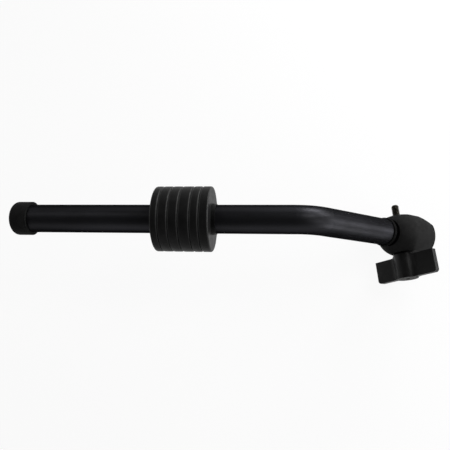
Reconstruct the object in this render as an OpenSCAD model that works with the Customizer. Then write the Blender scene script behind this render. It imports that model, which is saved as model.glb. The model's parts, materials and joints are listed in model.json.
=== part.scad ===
// Bent tubular stabilizer arm with a sliding stack of weight discs and a ball shaped clamp head.
// All sizes are in millimetres.
// The origin is the centre of the toothed seat, where the stud leaves the clamp head.
// +X runs along the straight arm toward the bend, +Z is up, and the stud leans from +Y.

/* [Tube] */
// outside diameter of the arm tube
tube_d = 22.2; // [20:0.1:24]
// wall thickness of the arm tube
tube_wall = 1.8; // [1.2:0.1:2.4]
// straight length from the free end of the tube to the start of the bend
tube_straight = 221.4; // [190:0.2:280]
// angle the tube turns through in its bend
bend_deg = 42; // [25:1:60]
// centreline radius of the bend
bend_r = 32; // [28:1:50]
// loss of radius where the tube is drawn through its bend
bend_draw = 0.03; // [0.02:0.01:0.1]
// length over which the full radius reaches into each end of the bend
bend_lap = 0.2; // [0.1:0.05:0.4]
// length from the end of the bend to the axis of the clamp bolt
tube_end = 92; // [75:1:130]
// length of tube past the axis of the clamp bolt, inside the head
tube_past = 14.2; // [13.4:0.1:14.6]

/* [End cap] */
// wall of the cap around the tube
cap_wall = 2.2; // [1.5:0.1:4]
// length of the cap along the tube
cap_len = 15; // [10:0.5:25]
// thickness of the closed end of the cap
cap_end = 3; // [2.5:0.1:5]
// rounding of the outer edge of the cap
cap_round = 4.4; // [1:0.1:4.8]

/* [Weight] */
// outside diameter of the weight discs
disc_d = 50.4; // [42:0.2:60]
// thickness of the disc nearest the cap
disc_1_t = 5.8; // [4:0.1:10]
// thickness of the second disc
disc_2_t = 7.5; // [4:0.1:10]
// thickness of the third disc
disc_3_t = 7.7; // [4:0.1:10]
// thickness of the fourth disc, which carries the grub screw
disc_4_t = 8.6; // [7:0.1:12]
// thickness of the fifth disc
disc_5_t = 6.7; // [4:0.1:10]
// thickness of the disc nearest the bend
disc_6_t = 7.3; // [4:0.1:10]
// chamfer on the rim of every disc
disc_edge = 0.8; // [0.4:0.1:1.2]
// wall of the sleeve inside the discs
sleeve_wall = 0.8; // [0.6:0.1:1.5]
// length of sleeve that stands out at each side of the discs
sleeve_lip = 3; // [1:0.1:5]
// distance from the start of the bend to the near face of the discs
weight_gap = 62.8; // [50:0.2:90]
// diameter of the grub screw
grub_d = 5; // [4:0.1:6]
// depth of the grub screw below the rim of its disc
grub_sink = 3; // [1:0.2:6]
// width of the grub screw's socket across its corners
grub_socket = 2.9; // [2:0.1:3.4]

/* [Clamp head] */
// diameter of the ball shaped side of the head
ball_d = 38.4; // [37:0.2:40]
// length of the head past the axis of the clamp bolt
head_past = 31; // [28:0.5:36]
// radius of the dome that closes the head
head_dome_r = 25.6; // [23:0.2:40]
// height of the flat top of the head above the tube axis
head_top = 14.1; // [14:0.1:14.6]
// distance from the bolt axis to where the flat top starts to slope
head_flat = 11.8; // [11.6:0.1:13]
// slope of the top of the head past its flat
head_slope = 39; // [20:1:40]
// depth of the flat underside of the head below the tube axis
head_base = 16.4; // [16:0.1:17.8]
// turn of the head about the end of the tube
head_turn = 9.8; // [0:0.2:30]

/* [Mouth of the head] */
// length of the soft seal that lies against the head
seal_len = 4; // [2:0.1:6]
// height of the seal above the tube
seal_h = 0.35; // [0.2:0.05:1]
// length of the collar that holds the seal
collar_len = 3.2; // [2:0.1:6]
// height of the collar above the tube
collar_h = 0.8; // [0.4:0.1:1.6]

/* [Toothed seat] */
// diameter of the toothed seat
seat_d = 21.6; // [20:0.2:22]
// height of the teeth
tooth_h = 0.8; // [0.5:0.1:1]
// number of teeth
tooth_n = 36; // [24:1:40]
// width of the valley between two teeth
tooth_w = 1.15; // [0.8:0.05:1.2]
// thickness of the seat under its teeth
seat_t = 1.6; // [1.2:0.1:1.8]
// diameter of the smooth land inside the teeth
land_d = 15; // [14:0.2:16]
// depth of the land below the valleys of the teeth
land_drop = 0.4; // [0.2:0.1:0.6]

/* [Clamp bolt] */
// diameter of the thread
thread_d = 6.35; // [6:0.01:6.4]
// length of the stud above the seat
stud_len = 11.6; // [8:0.2:14]
// chamfer on the tip of the stud
stud_tip = 1.1; // [0.4:0.1:1.4]
// width of the bolt head across its flats
hex_af = 11.1; // [10:0.1:12]
// height of the bolt head
hex_h = 4.4; // [3:0.1:5]
// room between the bolt head and the cap under the knob
hex_room = 0.4; // [0.2:0.1:1]
// outside diameter of the cross bush
bush_d = 12; // [11.4:0.1:13]
// outside diameter of the ring on the bolt
ring_d = 8.6; // [8:0.1:8.8]
// thickness of the ring on the bolt
ring_t = 0.9; // [0.6:0.1:1.2]
// depth of the groove that holds the ring
ring_groove = 0.6; // [0.4:0.05:0.7]
// length the bolt can be drawn back
bolt_travel = 5.5; // [3:0.1:6]

/* [Knob] */
// diameter of the hub
hub_d = 17.2; // [16.6:0.2:22]
// distance from the axis to the end of a wing
wing_r = 27.4; // [22:0.2:32]
// thickness of a wing
wing_t = 4.8; // [4:0.1:7]
// height of a wing
wing_h = 19; // [14:0.1:24]
// drop of the wings below the top of the hub, and the rounding of that step
wing_drop = 1.3; // [0.4:0.1:2]
// length of hub that stands out below the wings
hub_past = 0.5; // [0:0.1:2]
// rounding of the lower corner of a wing
wing_round = 2.6; // [1:0.1:4]
// rounding where a wing meets the hub
wing_fillet = 7; // [2:0.1:9]
// turn of the wings about the bolt
wing_turn = 87; // [0:1:180]
// diameter of the cap under the knob
cap_disc_d = 15; // [13.5:0.1:15.4]
// thickness of the cap under the knob
cap_disc_t = 1.6; // [1:0.1:2]
// diameter of the dimple in the middle of that cap
dimple_d = 3.2; // [2:0.1:5]
// thickness of the washer under the knob
washer_t = 1; // [0.6:0.1:1.6]

/* [Fits] */
// gap between pieces that are fixed to each other
fit_gap = 0.05; // [0.02:0.01:0.08]
// radial clearance of the sleeve on the tube and of the bolt in its bush
run_gap = 0.08; // [0.03:0.01:0.1]
// gap between pieces that move past each other
move_gap = 0.3; // [0.2:0.05:0.4]

/* [Hidden] */
$fn = 96;
tube_r = tube_d / 2;
cap_r = tube_r + fit_gap + cap_wall;
sleeve_ri = tube_r + run_gap;
sleeve_ro = sleeve_ri + sleeve_wall;
disc_ri = sleeve_ro + fit_gap;
disc_r = disc_d / 2;
grub_len = disc_r - disc_ri - grub_sink;
// positions of the disc faces along the straight arm, from the start of the bend
disc_6_x = -weight_gap - disc_6_t;
disc_5_x = disc_6_x - disc_5_t;
disc_4_x = disc_5_x - disc_4_t;
disc_3_x = disc_4_x - disc_3_t;
disc_2_x = disc_3_x - disc_2_t;
disc_1_x = disc_2_x - disc_1_t;
grub_x = disc_4_x + disc_4_t / 2;
ball_r = ball_d / 2;
// place along the tube where the ball shaped side of the head ends, and of the rings in front of it
mouth_x = -sqrt(pow(ball_r, 2) - pow(tube_r + fit_gap, 2));
seal_x = mouth_x - fit_gap - seal_len;
collar_x = seal_x - fit_gap - collar_len;
seat_h = head_top + tooth_h;
seat_floor = head_top - seat_t;
thread_r = thread_d / 2;
shank_r = thread_r - 0.025;
bush_ri = shank_r + run_gap;
bush_r = bush_d / 2;
seat_hole_r = thread_r + move_gap;
ring_ri = shank_r - ring_groove;
ring_top = seat_floor - move_gap;
ring_low = ring_top - ring_t;
pocket_low = ring_low - bolt_travel - move_gap;
pocket_r = ring_d / 2 + move_gap;
knob_top = -head_base - washer_t - 2 * move_gap;
knob_low = knob_top - wing_drop - wing_h - hub_past;
wing_low = knob_low + hub_past;
hub_r = hub_d / 2;
hex_r = hex_af / 2 / cos(30);
hex_low = knob_low + cap_disc_t + hex_room;
// direction of the stud and place of the start of the bend, both seen from the origin
stud_dir = [-sin(head_turn) * sin(bend_deg), cos(head_turn), -sin(head_turn) * cos(bend_deg)];
cross_x = bend_r * sin(bend_deg) + tube_end * cos(bend_deg);
cross_z = -bend_r * (1 - cos(bend_deg)) - tube_end * sin(bend_deg);
bend_at = [-cross_x - seat_h * stud_dir[0], -seat_h * stud_dir[1], -cross_z - seat_h * stud_dir[2]];

// straight arm: x along the arm, origin at the start of the bend
module at_arm() {
  translate(bend_at) children();
}

// clamp head: x into the head along the tube, z along the stud, origin where the two axes cross
module at_head() {
  rotate([0, bend_deg, 0]) rotate([-90 - head_turn, 0, 0]) translate([0, 0, -seat_h]) children();
}

module along_x(x0, x1, r) {
  translate([x0, 0, 0]) rotate([0, 90, 0]) cylinder(h = x1 - x0, r = r);
}

module up_z(z0, z1, r) {
  translate([0, 0, z0]) cylinder(h = z1 - z0, r = r);
}

// end of the arm: x along its axis, origin at the end of the bend
module at_bend_end() {
  translate([0, 0, -bend_r]) rotate([0, bend_deg, 0]) translate([0, 0, bend_r]) children();
}

// round bar that follows the straight arm, the bend and the end of the arm
module bent_bar(r, x0, x1) {
  along_x(x0, bend_lap, r);
  translate([0, 0, -bend_r]) rotate([-90, -90, 0]) rotate_extrude(angle = bend_deg)
    translate([bend_r, 0]) circle(r = r - bend_draw);
  at_bend_end() along_x(-bend_lap, tube_end + x1, r);
}

module arm_tube() {
  color([0.06, 0.06, 0.07]) difference() {
    at_arm() bent_bar(tube_r, -tube_straight, tube_past);
    at_arm() bent_bar(tube_r - tube_wall, -tube_straight - 1, tube_past + 1);
    at_head() up_z(-ball_r, ball_r, bush_r + fit_gap);
  }
}

// section of the cap beside its axis: radius across, length up from the closed end
module cap_section() {
  difference() {
    union() {
      square([cap_r - cap_round, cap_len]);
      translate([0, cap_round]) square([cap_r, cap_len - cap_round]);
      translate([cap_r - cap_round, cap_round]) circle(r = cap_round);
    }
    translate([-1, cap_end]) square([1 + tube_r + fit_gap, cap_len]);
    translate([-cap_r, -1]) square([cap_r, cap_len + 2]);
  }
}

module end_cap() {
  color([0.03, 0.03, 0.03]) at_arm() translate([-tube_straight - cap_end, 0, 0]) rotate([0, 90, 0])
    rotate_extrude() cap_section();
}

// one weight disc, with its face toward the cap at x
module disc(x, t) {
  at_arm() translate([x, 0, 0]) rotate([0, 90, 0]) rotate_extrude()
    polygon([[disc_ri, 0], [disc_r - disc_edge, 0], [disc_r, disc_edge], [disc_r, t - disc_edge],
             [disc_r - disc_edge, t], [disc_ri, t]]);
}

module weight_disc_1() {
  color([0.05, 0.05, 0.05]) disc(disc_1_x, disc_1_t);
}

module weight_disc_2() {
  color([0.05, 0.05, 0.05]) disc(disc_2_x, disc_2_t);
}

module weight_disc_3() {
  color([0.05, 0.05, 0.05]) disc(disc_3_x, disc_3_t);
}

module weight_disc_4() {
  color([0.05, 0.05, 0.05]) difference() {
    disc(disc_4_x, disc_4_t);
    at_arm() translate([grub_x, 0, 0]) up_z(-disc_r - 1, -sleeve_ro + 1, grub_d / 2 + fit_gap);
  }
}

module weight_disc_5() {
  color([0.05, 0.05, 0.05]) disc(disc_5_x, disc_5_t);
}

module weight_disc_6() {
  color([0.05, 0.05, 0.05]) disc(disc_6_x, disc_6_t);
}

module weight_sleeve() {
  color([0.04, 0.04, 0.04]) at_arm() difference() {
    along_x(disc_1_x - sleeve_lip, -weight_gap + sleeve_lip, sleeve_ro);
    along_x(disc_1_x - sleeve_lip - 1, -weight_gap + sleeve_lip + 1, sleeve_ri);
  }
}

// grub screw under the fourth disc, with a hexagon socket in its outer end
module weight_grub_screw() {
  color([0.12, 0.12, 0.12]) at_arm() translate([grub_x, 0, -disc_ri - grub_len])
    difference() {
      cylinder(h = grub_len, r = grub_d / 2);
      translate([0, 0, -1]) cylinder(h = 1 + grub_len / 3, r = grub_socket / 2, $fn = 6);
    }
}

// section of the head beside the tube axis: radius across, length into the head upward
module head_section() {
  difference() {
    union() {
      circle(r = ball_r);
      intersection() {
        square([ball_r, head_past + 1]);
        translate([0, head_past - head_dome_r]) circle(r = head_dome_r);
      }
    }
    translate([-2 * ball_r, -2 * ball_r]) square([2 * ball_r, 6 * ball_r]);
  }
}

module clamp_head() {
  color([0.1, 0.1, 0.11]) at_head() difference() {
    rotate([0, 90, 0]) rotate_extrude() head_section();
    translate([-ball_r, -ball_r, head_top]) cube([ball_r + head_past + 5, ball_d, ball_r]);
    translate([-ball_r, -ball_r, -head_base - ball_r]) cube([ball_r + head_past + 5, ball_d, ball_r]);
    translate([head_flat, -ball_r, head_top]) rotate([0, head_slope, 0]) cube([2 * head_past, ball_d, ball_r]);
    along_x(-ball_r - 1, tube_past + fit_gap, tube_r + fit_gap);
    up_z(-ball_r, ball_r, bush_r + fit_gap);
    up_z(seat_floor, ball_r, seat_d / 2 + fit_gap);
  }
}

// ring on the tube in front of the head, with its far face at x
module tube_ring(x, len, h) {
  at_head() difference() {
    along_x(x, x + len, tube_r + fit_gap + h);
    along_x(x - 1, x + len + 1, tube_r + fit_gap);
  }
}

module mouth_seal() {
  color([0.01, 0.01, 0.01]) tube_ring(seal_x, seal_len, seal_h);
}

module tube_collar() {
  color([0.04, 0.04, 0.04]) tube_ring(collar_x, collar_len, collar_h);
}

module cross_bush() {
  color([0.3, 0.3, 0.3]) at_head() difference() {
    up_z(-head_base, seat_floor, bush_r);
    up_z(-head_base - 1, seat_floor + 1, bush_ri);
    up_z(pocket_low, seat_floor + 1, pocket_r);
  }
}

module toothed_seat() {
  color([0.05, 0.05, 0.05]) at_head() difference() {
    up_z(seat_floor, seat_h, seat_d / 2);
    up_z(seat_floor - 1, seat_h + 1, seat_hole_r);
    up_z(head_top - land_drop, seat_h + 1, land_d / 2);
    for (i = [0 : tooth_n - 1]) rotate([0, 0, i * 360 / tooth_n]) translate([land_d / 2 - 1, 0, seat_h])
      rotate([90, 0, 90]) linear_extrude(height = seat_d)
        polygon([[-tooth_w, tooth_h], [0, -tooth_h], [tooth_w, tooth_h]]);
  }
}

module clamp_bolt() {
  color([0.25, 0.25, 0.25]) at_head() rotate_extrude() polygon([
    [0, hex_low + hex_h - 1], [shank_r, hex_low + hex_h - 1], [shank_r, ring_low - fit_gap],
    [ring_ri - fit_gap, ring_low - fit_gap], [ring_ri - fit_gap, ring_top + fit_gap],
    [shank_r, ring_top + fit_gap], [shank_r, seat_h - 2], [ring_ri, seat_h - 2], [ring_ri, seat_h],
    [thread_r, seat_h], [thread_r, seat_h + stud_len - stud_tip],
    [thread_r - stud_tip * 0.8, seat_h + stud_len], [0, seat_h + stud_len]]);
  color([0.25, 0.25, 0.25]) at_head() rotate([0, 0, -wing_turn]) translate([0, 0, hex_low])
    cylinder(h = hex_h, r = hex_r, $fn = 6);
}

module bolt_ring() {
  color([0.3, 0.3, 0.3]) at_head() difference() {
    up_z(ring_low, ring_top, ring_d / 2);
    up_z(ring_low - 1, ring_top + 1, ring_ri);
    translate([0, -ring_ri * 0.7, ring_low - 1]) cube([ring_d, ring_ri * 1.4, ring_t + 2]);
  }
}

module thrust_washer() {
  color([0.2, 0.2, 0.2]) at_head() difference() {
    up_z(-head_base - move_gap - washer_t, -head_base - move_gap, hub_r - 1);
    up_z(-head_base - move_gap - washer_t - 1, -head_base, bush_ri);
  }
}

// outline of the knob seen along the bolt: hub, two wings and the roundings between them
module knob_plan() {
  fy = wing_t / 2 + wing_fillet;
  fx = sqrt(pow(hub_r + wing_fillet, 2) - pow(fy, 2));
  meet = hub_r / (hub_r + wing_fillet);
  circle(r = hub_r);
  translate([-wing_r, -wing_t / 2]) square([2 * wing_r, wing_t]);
  for (sx = [-1, 1]) for (sy = [-1, 1]) difference() {
    polygon([[0, 0], [sx * fx * meet, sy * fy * meet], [sx * fx, sy * wing_t / 2], [sx * fx, 0]]);
    translate([sx * fx, sy * fy]) circle(r = wing_fillet);
  }
}

// outline of the wings seen from the side: width across, height up from the lower edge
module wing_side() {
  step_x = hub_r + wing_drop;
  step_top = wing_h + wing_drop;
  translate([-wing_r + wing_round, 0]) square([2 * (wing_r - wing_round), wing_h]);
  translate([-wing_r, wing_round]) square([2 * wing_r, wing_h - wing_round]);
  for (sx = [-1, 1]) translate([sx * (wing_r - wing_round), wing_round]) circle(r = wing_round);
  difference() {
    translate([-step_x, 0]) square([2 * step_x, step_top]);
    for (sx = [-1, 1]) translate([sx * step_x, step_top]) circle(r = wing_drop);
  }
}

module wing_knob() {
  color([0.04, 0.04, 0.04]) at_head() rotate([0, 0, -wing_turn]) difference() {
    union() {
      up_z(knob_low, knob_top, hub_r);
      intersection() {
        translate([0, 0, wing_low]) linear_extrude(height = wing_h + wing_drop) knob_plan();
        translate([0, wing_r, wing_low]) rotate([90, 0, 0]) linear_extrude(height = 2 * wing_r)
          wing_side();
      }
    }
    up_z(knob_low - 1, knob_top + 1, shank_r + fit_gap);
    translate([0, 0, knob_low - 1]) cylinder(h = hex_low + hex_h + fit_gap - knob_low + 1,
                                             r = hex_r + fit_gap, $fn = 6);
    up_z(knob_low - 1, knob_low + cap_disc_t + fit_gap, cap_disc_d / 2 + fit_gap);
  }
}

module knob_cap() {
  color([0.07, 0.07, 0.07]) at_head() difference() {
    up_z(knob_low, knob_low + cap_disc_t, cap_disc_d / 2);
    up_z(knob_low - 1, knob_low + cap_disc_t / 2, dimple_d / 2);
  }
}

arm_tube();
end_cap();
weight_disc_1();
weight_disc_2();
weight_disc_3();
weight_disc_4();
weight_disc_5();
weight_disc_6();
weight_sleeve();
weight_grub_screw();
clamp_head();
mouth_seal();
tube_collar();
cross_bush();
toothed_seat();
clamp_bolt();
bolt_ring();
thrust_washer();
wing_knob();
knob_cap();
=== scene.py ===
import json
import math

import bpy
import numpy as np
from mathutils import Matrix, Vector


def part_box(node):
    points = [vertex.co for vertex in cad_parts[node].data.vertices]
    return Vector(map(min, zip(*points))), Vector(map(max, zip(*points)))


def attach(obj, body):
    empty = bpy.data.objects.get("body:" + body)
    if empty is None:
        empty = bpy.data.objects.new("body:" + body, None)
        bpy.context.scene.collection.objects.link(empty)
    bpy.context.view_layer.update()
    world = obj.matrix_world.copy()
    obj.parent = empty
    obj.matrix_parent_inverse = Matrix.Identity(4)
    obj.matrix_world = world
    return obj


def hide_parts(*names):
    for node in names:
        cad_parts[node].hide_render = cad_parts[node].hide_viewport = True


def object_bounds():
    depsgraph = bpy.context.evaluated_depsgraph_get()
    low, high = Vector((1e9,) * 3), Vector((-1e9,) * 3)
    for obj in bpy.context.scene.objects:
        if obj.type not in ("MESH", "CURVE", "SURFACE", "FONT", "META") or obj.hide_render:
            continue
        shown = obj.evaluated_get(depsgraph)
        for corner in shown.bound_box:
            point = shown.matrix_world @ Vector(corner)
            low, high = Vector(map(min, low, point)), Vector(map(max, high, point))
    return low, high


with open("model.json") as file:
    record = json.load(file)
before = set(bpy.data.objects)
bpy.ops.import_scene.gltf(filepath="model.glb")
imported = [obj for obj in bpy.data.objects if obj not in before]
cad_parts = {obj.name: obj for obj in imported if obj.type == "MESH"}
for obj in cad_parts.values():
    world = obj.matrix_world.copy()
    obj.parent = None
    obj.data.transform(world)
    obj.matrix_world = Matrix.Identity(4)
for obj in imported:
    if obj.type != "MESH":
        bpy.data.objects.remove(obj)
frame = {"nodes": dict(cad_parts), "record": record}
cad_low, cad_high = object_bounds()
scene = bpy.context.scene
scene.view_settings.view_transform = "Standard"

MM = 0.001

# Camera of the photograph, in the row frame
CAMERA_AT = Vector((-91.35, -82.84, 443.03)) * MM
CAMERA_BACK = Vector((0.1319, -0.1676, 0.977)).normalized()
CAMERA_UP = Vector((-0.0059, 0.9855, 0.1698))
CAMERA_LENS = 39.86
SENSOR = 36.0

# Reading the frame
mounts = {m["name"]: m for m in frame["record"]["mounts"]}
slots = {s["node"]: s["material_slot"] for s in frame["record"]["subparts"]}
stud_axis = Vector(mounts["stud"]["axis"]).normalized()
stud_at = Vector(mounts["stud"]["pos_m"])


def along_and_across(node):
    """Places of a node's points along the stud, and their parts across it."""
    places = np.array([v.co for v in frame["nodes"][node].data.vertices], float) - np.array(stud_at)
    along = places @ np.array(stud_axis)
    return along, places - np.outer(along, stud_axis)


# Small tools for node trees
def add(tree, kind, **values):
    node = tree.nodes.new(kind)
    for key, value in values.items():
        setattr(node, key, value)
    return node


def blank_tree(owner, output_kind):
    """Node tree of a material or world with nothing but its output, and the output's surface."""
    owner.use_nodes = True
    tree = owner.node_tree
    tree.nodes.clear()
    return tree, add(tree, output_kind).inputs["Surface"]


def new_material(name):
    material = bpy.data.materials.new(name)
    tree, surface = blank_tree(material, "ShaderNodeOutputMaterial")
    shader = add(tree, "ShaderNodeBsdfPrincipled")
    tree.links.new(shader.outputs["BSDF"], surface)
    return material, tree, shader


def fold(tree, operation, first, *others):
    """Several values taken together, such as their product or the largest of them."""
    for other in others:
        node = add(tree, "ShaderNodeMath", operation=operation)
        tree.links.new(first, node.inputs[0])
        tree.links.new(other, node.inputs[1])
        first = node.outputs[0]
    return first


def vector_math(tree, operation, place, other=None):
    node = add(tree, "ShaderNodeVectorMath", operation=operation)
    tree.links.new(place, node.inputs[0])
    if other is not None:
        node.inputs[1].default_value = other
    return node.outputs["Value" if operation == "LENGTH" else "Vector"]


def object_place(tree, scale=(1, 1, 1)):
    """Texture place in the row frame, in metres, stretched by scale."""
    coords = add(tree, "ShaderNodeTexCoord")
    mapping = add(tree, "ShaderNodeMapping")
    mapping.inputs["Scale"].default_value = scale
    tree.links.new(coords.outputs["Object"], mapping.inputs["Vector"])
    return mapping.outputs["Vector"]


def noise(tree, place, size, detail=3.0, roughness=0.55):
    """Noise whose blobs are about size metres wide."""
    node = add(tree, "ShaderNodeTexNoise")
    node.inputs["Scale"].default_value = 1.0 / size
    node.inputs["Detail"].default_value = detail
    node.inputs["Roughness"].default_value = roughness
    tree.links.new(place, node.inputs["Vector"])
    return node.outputs["Fac"]


def spread(tree, value, low, high, start=0.3, stop=0.7):
    """Maps a value from start..stop to low..high; noise lies mostly within the defaults."""
    node = add(tree, "ShaderNodeMapRange")
    for key, number in (("From Min", start), ("From Max", stop), ("To Min", low), ("To Max", high)):
        node.inputs[key].default_value = number
    tree.links.new(value, node.inputs["Value"])
    return node.outputs["Result"]


def blend_colour(tree, share, first, second):
    """From the first colour to the second by a share; the first may be a socket."""
    node = add(tree, "ShaderNodeMix", data_type="RGBA")
    if isinstance(first, bpy.types.NodeSocket):
        tree.links.new(first, node.inputs["A"])
    else:
        node.inputs["A"].default_value = (*first, 1)
    node.inputs["B"].default_value = (*second, 1)
    tree.links.new(share, node.inputs["Factor"])
    return node.outputs["Result"]


def bump(tree, height, depth):
    """Bump from a height that runs from 0 to 1 over depth metres."""
    node = add(tree, "ShaderNodeBump")
    node.inputs["Distance"].default_value = depth
    node.inputs["Strength"].default_value = 1.0
    tree.links.new(height, node.inputs["Height"])
    return node.outputs["Normal"]


# Looks of the pieces
DARK_EDGE = (0.1, 0.1, 0.1)
UNEVEN_SHARE = 0.6
STAIN_SIZE = 2.5 * MM
SCRATCH_SIZE = 1.2 * MM
SCRATCH_DEPTH = 0.01 * MM


def painted(name, dark, pale, rough, gloss, grain, grain_depth, speck, stretch=(1, 1, 1), metallic=0.0):
    """Paint, rubber or plastic: mottled colour, uneven roughness and a fine grain.

    A metallic share gives the lustre of black anodising, whose edges stay as dark as its middle."""
    material, tree, shader = new_material(name)
    drawn = object_place(tree, stretch)
    mottle = spread(tree, noise(tree, drawn, speck, 4.0), 0, 1)
    uneven = spread(tree, noise(tree, drawn, speck * UNEVEN_SHARE), *rough)
    fine = bump(tree, noise(tree, object_place(tree), grain, 2.0), grain_depth)
    tree.links.new(blend_colour(tree, mottle, dark, pale), shader.inputs["Base Color"])
    tree.links.new(uneven, shader.inputs["Roughness"])
    tree.links.new(fine, shader.inputs["Normal"])
    shader.inputs["Specular IOR Level"].default_value = gloss
    if metallic:
        shader.inputs["Metallic"].default_value = metallic
        shader.inputs["Specular Tint"].default_value = (*DARK_EDGE, 1)
    return material


def metal(name, dark, pale, rough, grain):
    """Plated or blackened steel with stains and fine scratches."""
    material, tree, shader = new_material(name)
    place = object_place(tree)
    stain = spread(tree, noise(tree, place, STAIN_SIZE, 5.0), 0, 1)
    uneven = spread(tree, noise(tree, place, SCRATCH_SIZE), *rough)
    fine = bump(tree, noise(tree, place, grain, 2.0), SCRATCH_DEPTH)
    tree.links.new(blend_colour(tree, stain, dark, pale), shader.inputs["Base Color"])
    tree.links.new(uneven, shader.inputs["Roughness"])
    tree.links.new(fine, shader.inputs["Normal"])
    shader.inputs["Metallic"].default_value = 1.0
    return material


def grey(level, blue=1.0):
    return (level, level, level * blue)


PAINTS = {
    "tube_paint": dict(dark=grey(0.018, 1.08), pale=grey(0.0255, 1.12), rough=(0.38, 0.44), gloss=0.0,
                       grain=0.9 * MM, grain_depth=0.004 * MM, speck=14 * MM,
                       stretch=(0.25, 1, 1), metallic=0.85),
    "cap_rubber": dict(dark=grey(0.006), pale=grey(0.010), rough=(0.6, 0.75), gloss=0.03,
                       grain=0.35 * MM, grain_depth=0.012 * MM, speck=5 * MM),
    "weight_paint": dict(dark=grey(0.006), pale=grey(0.0088), rough=(0.36, 0.46), gloss=0.05,
                         grain=0.5 * MM, grain_depth=0.008 * MM, speck=6 * MM),
    "sleeve_plastic": dict(dark=grey(0.001), pale=grey(0.002), rough=(0.4, 0.5), gloss=0.08,
                           grain=0.4 * MM, grain_depth=0.008 * MM, speck=4 * MM),
    "head_paint": dict(dark=grey(0.0098), pale=grey(0.0138), rough=(0.6, 0.72), gloss=0.02,
                       grain=0.45 * MM, grain_depth=0.02 * MM, speck=4 * MM),
    "seat_metal": dict(dark=grey(0.004), pale=grey(0.010), rough=(0.35, 0.5), gloss=0.15,
                       grain=0.3 * MM, grain_depth=0.01 * MM, speck=3 * MM),
    # black rubber seal, made far darker than the other rubber as painted shade at the mouth of the head
    "seal_rubber": dict(dark=grey(0.0004), pale=grey(0.0008), rough=(0.8, 0.9), gloss=0.0,
                        grain=0.3 * MM, grain_depth=0.01 * MM, speck=3 * MM),
    "washer_plastic": dict(dark=grey(0.004), pale=grey(0.006), rough=(0.6, 0.75), gloss=0.01,
                           grain=0.3 * MM, grain_depth=0.01 * MM, speck=3 * MM),
    "knob_plastic": dict(dark=grey(0.0045), pale=grey(0.007), rough=(0.36, 0.46), gloss=0.12,
                         grain=0.4 * MM, grain_depth=0.02 * MM, speck=5 * MM),
    "knob_cap_plastic": dict(dark=grey(0.006), pale=grey(0.010), rough=(0.45, 0.55), gloss=0.06,
                             grain=0.4 * MM, grain_depth=0.01 * MM, speck=3 * MM),
}
METALS = {
    "dark_steel": dict(dark=grey(0.02), pale=grey(0.05), rough=(0.35, 0.5), grain=0.2 * MM),
    "bush_steel": dict(dark=grey(0.35), pale=grey(0.5), rough=(0.3, 0.45), grain=0.2 * MM),
    "bolt_steel": dict(dark=(0.020, 0.017, 0.014), pale=(0.060, 0.055, 0.045), rough=(0.3, 0.5),
                       grain=0.2 * MM),
}
looks = {name: painted(name, **look) for name, look in PAINTS.items()}
looks.update({name: metal(name, **look) for name, look in METALS.items()})

# Paint rubbed thin and a painted highlight on the rims of the discs: depths below the rim between which it
# grows and fades, and the heights, as shares of the rim's radius, between which it thins out on the lower
# side as painted shade
WORN_AND_HIGHLIGHT = grey(0.04)
RIM_WEAR_AND_HIGHLIGHT_GROWS = (1.1 * MM, 0.8 * MM)
RIM_WEAR_AND_HIGHLIGHT_FADES = (0.12 * MM, 0.03 * MM)
PAINTED_SHADE_LOWER_SIDE = (-0.75, -0.05)
LOWER_SIDE_LEAST_HIGHLIGHT = 0.2
RIM_WEAR_AND_HIGHLIGHT_PATCH = 2 * MM
RIM_WEAR_AND_HIGHLIGHT_PATCH_LEAST = 0.6


def wear_and_highlight_rims(material):
    """Paint rubbed thin and a painted highlight on the chamfered rims of the weight discs, which lie
    around the straight tube; painted shade keeps it fainter on the lower side.
    """
    tree = material.node_tree
    shader = next(n for n in tree.nodes if n.type == "BSDF_PRINCIPLED")
    paint = shader.inputs["Base Color"].links[0].from_socket
    low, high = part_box("weight_disc_1")
    rim = (high.z - low.z) / 2
    around = vector_math(tree, "SUBTRACT", object_place(tree), (low + high) / 2)
    reach = vector_math(tree, "LENGTH", vector_math(tree, "MULTIPLY", around, (0, 1, 1)))
    split = add(tree, "ShaderNodeSeparateXYZ")
    tree.links.new(around, split.inputs["Vector"])
    inner = spread(tree, reach, 0, 1, *(rim - depth for depth in RIM_WEAR_AND_HIGHLIGHT_GROWS))
    outer = spread(tree, reach, 1, 0, *(rim - depth for depth in RIM_WEAR_AND_HIGHLIGHT_FADES))
    patchy = spread(tree, noise(tree, object_place(tree), RIM_WEAR_AND_HIGHLIGHT_PATCH, 4.0), RIM_WEAR_AND_HIGHLIGHT_PATCH_LEAST, 1.0)
    # painted shade: the rim highlight is fainter on the lower side, as if lit from above
    lit_upper_side = spread(tree, split.outputs["Y"], LOWER_SIDE_LEAST_HIGHLIGHT, 1, *(rim * share for share in PAINTED_SHADE_LOWER_SIDE))
    share = fold(tree, "MULTIPLY", inner, outer, patchy, lit_upper_side)
    tree.links.new(blend_colour(tree, share, paint, WORN_AND_HIGHLIGHT), shader.inputs["Base Color"])


# painted highlight and rubbed paint on the disc rims
wear_and_highlight_rims(looks["weight_paint"])

# Clamp bolt with a cut thread, in place of its plain solid
THREAD_PITCH = 1.27 * MM
THREAD_DEPTH = 0.62 * MM
THREAD_CREST = 0.15
THREAD_FLANK = 0.7
THREAD_ROWS = 10
BOLT_SIDES = 96
BOLT_SHARP = math.radians(34)
HEX_CHAMFER = 0.5 * MM
HEX_CHAMFER_STEP = 0.6
HEX_CORNER_LEFT = 0.2
RING_FIT = 0.05 * MM
NECK_LONG = 2.0 * MM

# Slack used when the plain solid's points are sorted into hexagon, shank and tip
NEAR_CORNER = 0.99
SHANK_CLEAR = 1.0 * MM
TIP_SLICE = 0.01 * MM


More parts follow.
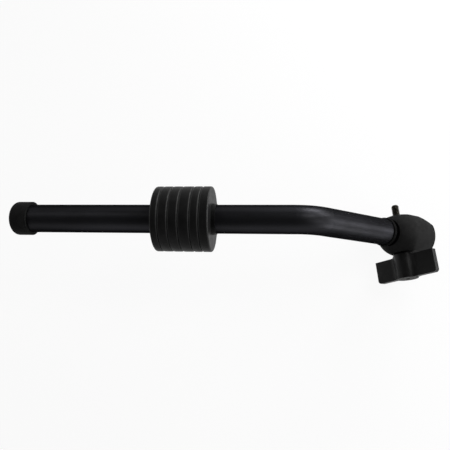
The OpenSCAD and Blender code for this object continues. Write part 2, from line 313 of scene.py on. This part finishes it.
def bolt_rings():
    """Rings of the bolt from its head to its tip: place along the stud and radius at each angle."""
    along, across = along_and_across("clamp_bolt")
    reach = np.linalg.norm(across, axis=1)
    corner_r = reach.max()
    thread_r = mounts["stud"]["dims"]["r_mm"] * MM
    hex_low, tip = along.min(), along.max()
    hex_high = along[reach > corner_r * NEAR_CORNER].max()
    shank_r = reach[(along > hex_high + SHANK_CLEAR) & (along < -NECK_LONG - SHANK_CLEAR)].max()
    ring_along, ring_across = along_and_across("bolt_ring")
    groove_low, groove_high = ring_along.min(), ring_along.max()
    groove_r = np.linalg.norm(ring_across, axis=1).min() - RING_FIT

    angle = np.arange(BOLT_SIDES) * 2 * math.pi / BOLT_SIDES
    flat_r = corner_r * math.cos(math.pi / 6)
    hexagon = flat_r / np.cos(np.mod(angle, math.pi / 3) - math.pi / 6)
    rounded = np.minimum(hexagon, flat_r + (corner_r - flat_r) * HEX_CORNER_LEFT)
    level = np.ones(BOLT_SIDES)
    rings = [(hex_low, rounded - HEX_CHAMFER), (hex_low + HEX_CHAMFER * HEX_CHAMFER_STEP, rounded),
             (hex_low + HEX_CHAMFER, hexagon), (hex_high - HEX_CHAMFER, hexagon),
             (hex_high, rounded), (hex_high, level * shank_r)]
    for low, high in ((groove_low - RING_FIT, groove_high + RING_FIT), (-NECK_LONG, 0)):
        rings += [(low, level * shank_r), (low, level * groove_r), (high, level * groove_r)]
        if high < 0:
            rings.append((high, level * shank_r))

    chamfer_from = mounts["stud"]["dims"]["length_mm"] * MM
    chamfer_r = reach[along > tip - TIP_SLICE].max()
    rows = math.ceil(tip / THREAD_PITCH * THREAD_ROWS)
    for row in range(rows + 1):
        height = tip * row / rows
        turn = np.mod(height / THREAD_PITCH - angle / (2 * math.pi), 1)
        cut = np.clip((np.abs(2 * turn - 1) - THREAD_CREST) / THREAD_FLANK, 0, 1)
        past_chamfer = max(0, (height - chamfer_from) / (tip - chamfer_from))
        cone = thread_r - (thread_r - chamfer_r) * past_chamfer
        lead_in = thread_r - THREAD_DEPTH * max(0, 1 - height / THREAD_PITCH)
        rings.append((height, np.minimum(thread_r - THREAD_DEPTH * cut, min(cone, lead_in))))
    return rings, angle, Vector(across[reach.argmax()]).normalized()


def lathe(name, rings, angle, first):
    """Closed mesh through rings around the stud, with the first angle along the given direction."""
    second = stud_axis.cross(first)
    verts = []
    for height, radius in rings:
        middle = stud_at + stud_axis * height
        for turn, r in zip(angle, radius):
            verts.append(middle + first * (r * math.cos(turn)) + second * (r * math.sin(turn)))
    sides = len(angle)
    faces = [tuple(reversed(range(sides)))]
    for row in range(len(rings) - 1):
        for k in range(sides):
            a, b = row * sides + k, row * sides + (k + 1) % sides
            faces.append((a, b, b + sides, a + sides))
    faces.append(tuple(range(len(verts) - sides, len(verts))))
    mesh = bpy.data.meshes.new(name)
    mesh.from_pydata(verts, [], faces)
    mesh.shade_smooth()
    mesh.set_sharp_from_angle(angle=BOLT_SHARP)
    piece = bpy.data.objects.new(name, mesh)
    scene.collection.objects.link(piece)
    return piece


bolt = lathe("threaded_bolt", *bolt_rings())
bolt.data.materials.append(looks["bolt_steel"])
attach(bolt, "clamp_screw")
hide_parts("clamp_bolt")

# Finish of the carried-over solids: welded seams and softened edges
SEAM = 0.002 * MM
EDGE_ELSEWHERE = 0.15 * MM
EDGE = {"clamp_head": 0.5 * MM, "wing_knob": 0.6 * MM, "knob_cap": 0.25 * MM, "end_cap": 0.3 * MM,
        "toothed_seat": 0.08 * MM, "tube_collar": 0.38 * MM}
EDGE.update({"weight_disc_%d" % k: 0.5 * MM for k in range(1, 7)})
EDGE_STEPS = 3
EDGE_FROM = math.radians(30)

# The ends of the tube are hidden, so it only needs an even run through its slightly thinner bend
BEND_SEAM = 0.05 * MM

for name, node in frame["nodes"].items():
    node.data.materials.clear()
    node.data.materials.append(looks[slots[name]])
    weld = node.modifiers.new("weld", "WELD")
    if name == "arm_tube":
        weld.merge_threshold = BEND_SEAM
        even = node.modifiers.new("even_run", "WEIGHTED_NORMAL")
        even.mode = "FACE_AREA"
        continue
    weld.merge_threshold = SEAM
    soft = node.modifiers.new("soft_edges", "BEVEL")
    soft.width = EDGE.get(name, EDGE_ELSEWHERE)
    soft.segments = EDGE_STEPS
    soft.limit_method = "ANGLE"
    soft.angle_limit = EDGE_FROM
    soft.harden_normals = True

# Camera
camera_data = bpy.data.cameras.new("camera")
camera_data.lens = CAMERA_LENS
camera_data.sensor_width = SENSOR
camera = bpy.data.objects.new("camera", camera_data)
scene.collection.objects.link(camera)
right = CAMERA_UP.cross(CAMERA_BACK).normalized()
up = CAMERA_BACK.cross(right)
facing = Matrix((right, up, CAMERA_BACK)).transposed()
camera.matrix_world = Matrix.Translation(CAMERA_AT) @ facing.to_4x4()
scene.camera = camera

# Pale floor just below the part, which is white where it is seen and still takes the shadow
FLOOR_HALF = 3.0
FLOOR_DROP = 0.5 * MM
FLOOR_COLOUR = grey(0.9)
FLOOR_GLOW = 0.9


def seen_directly(tree):
    """1 for a ray that shows the background itself: straight, in a reflection or through glass."""
    path = add(tree, "ShaderNodeLightPath")
    kinds = ("Is Camera Ray", "Is Glossy Ray", "Is Transmission Ray")
    return fold(tree, "MAXIMUM", *(path.outputs[kind] for kind in kinds))


def floor_material():
    material = bpy.data.materials.new("floor_white")
    tree, surface = blank_tree(material, "ShaderNodeOutputMaterial")
    lit = add(tree, "ShaderNodeBsdfDiffuse")
    lit.inputs["Color"].default_value = (*FLOOR_COLOUR, 1)
    glow = add(tree, "ShaderNodeEmission")
    share = add(tree, "ShaderNodeMath", operation="MULTIPLY")
    share.inputs[1].default_value = FLOOR_GLOW
    mix = add(tree, "ShaderNodeMixShader")
    tree.links.new(seen_directly(tree), share.inputs[0])
    tree.links.new(share.outputs[0], mix.inputs["Fac"])
    tree.links.new(lit.outputs[0], mix.inputs[1])
    tree.links.new(glow.outputs[0], mix.inputs[2])
    tree.links.new(mix.outputs[0], surface)
    return material


floor_mesh = bpy.data.meshes.new("floor")
floor_z = cad_low.z - FLOOR_DROP
corners = ((-1, -1), (1, -1), (1, 1), (-1, 1))
floor_mesh.from_pydata([(x * FLOOR_HALF, y * FLOOR_HALF, floor_z) for x, y in corners], [], [(0, 1, 2, 3)])
floor_mesh.materials.append(floor_material())
floor = bpy.data.objects.new("floor", floor_mesh)
scene.collection.objects.link(floor)

# White walls up to WALL_TOP and a dim ceiling above CEILING_FROM, as heights of the direction seen
WALL_TOP = 0.3
CEILING_FROM = 0.6
CEILING = 0.08

scene.world = bpy.data.worlds.new("surroundings")
world_tree, world_surface = blank_tree(scene.world, "ShaderNodeOutputWorld")
sky = add(world_tree, "ShaderNodeBackground")
sky.inputs["Color"].default_value = (1, 1, 1, 1)
seen = add(world_tree, "ShaderNodeTexCoord")
height_seen = add(world_tree, "ShaderNodeSeparateXYZ")
world_tree.links.new(seen.outputs["Generated"], height_seen.inputs["Vector"])
brightness = spread(world_tree, height_seen.outputs["Z"], 1.0, CEILING, WALL_TOP, CEILING_FROM)
world_tree.links.new(brightness, sky.inputs["Strength"])
world_tree.links.new(sky.outputs[0], world_surface)

# Soft boxes: direction as the photograph's right, up and back, and radiance
BOX_SIDE = 0.22
BOX_DISTANCE = 0.7
SOFT_BOXES = {
    "top_right": ((0.45, 0.88, 0.1), 18),
    "right_top": ((0.75, 0.6, 0.3), 9),
    "right_low": ((0.84, -0.45, 0.25), 10.5),
    "right": ((0.97, 0.05, 0.2), 9),
    "right_high": ((0.42, 0.48, 0.77), 6),
    "right_front": ((0.65, -0.1, 0.75), 3),
    "left_high": ((-0.62, 0.5, 0.6), 2),
    "left": ((-0.9, 0.1, 0.4), 0.8),
}
centre = (cad_low + cad_high) / 2
for name, (direction, radiance) in SOFT_BOXES.items():
    data = bpy.data.lights.new(name, "AREA")
    data.shape = "SQUARE"
    data.size = BOX_SIDE
    data.energy = radiance * math.pi * BOX_SIDE ** 2
    lamp = bpy.data.objects.new(name, data)
    side, rise, toward = Vector(direction).normalized() * BOX_DISTANCE
    lamp.location = centre + right * side + up * rise + CAMERA_BACK * toward
    lamp.rotation_mode = "QUATERNION"
    lamp.rotation_quaternion = (centre - lamp.location).to_track_quat("-Z", "Y")
    scene.collection.objects.link(lamp)
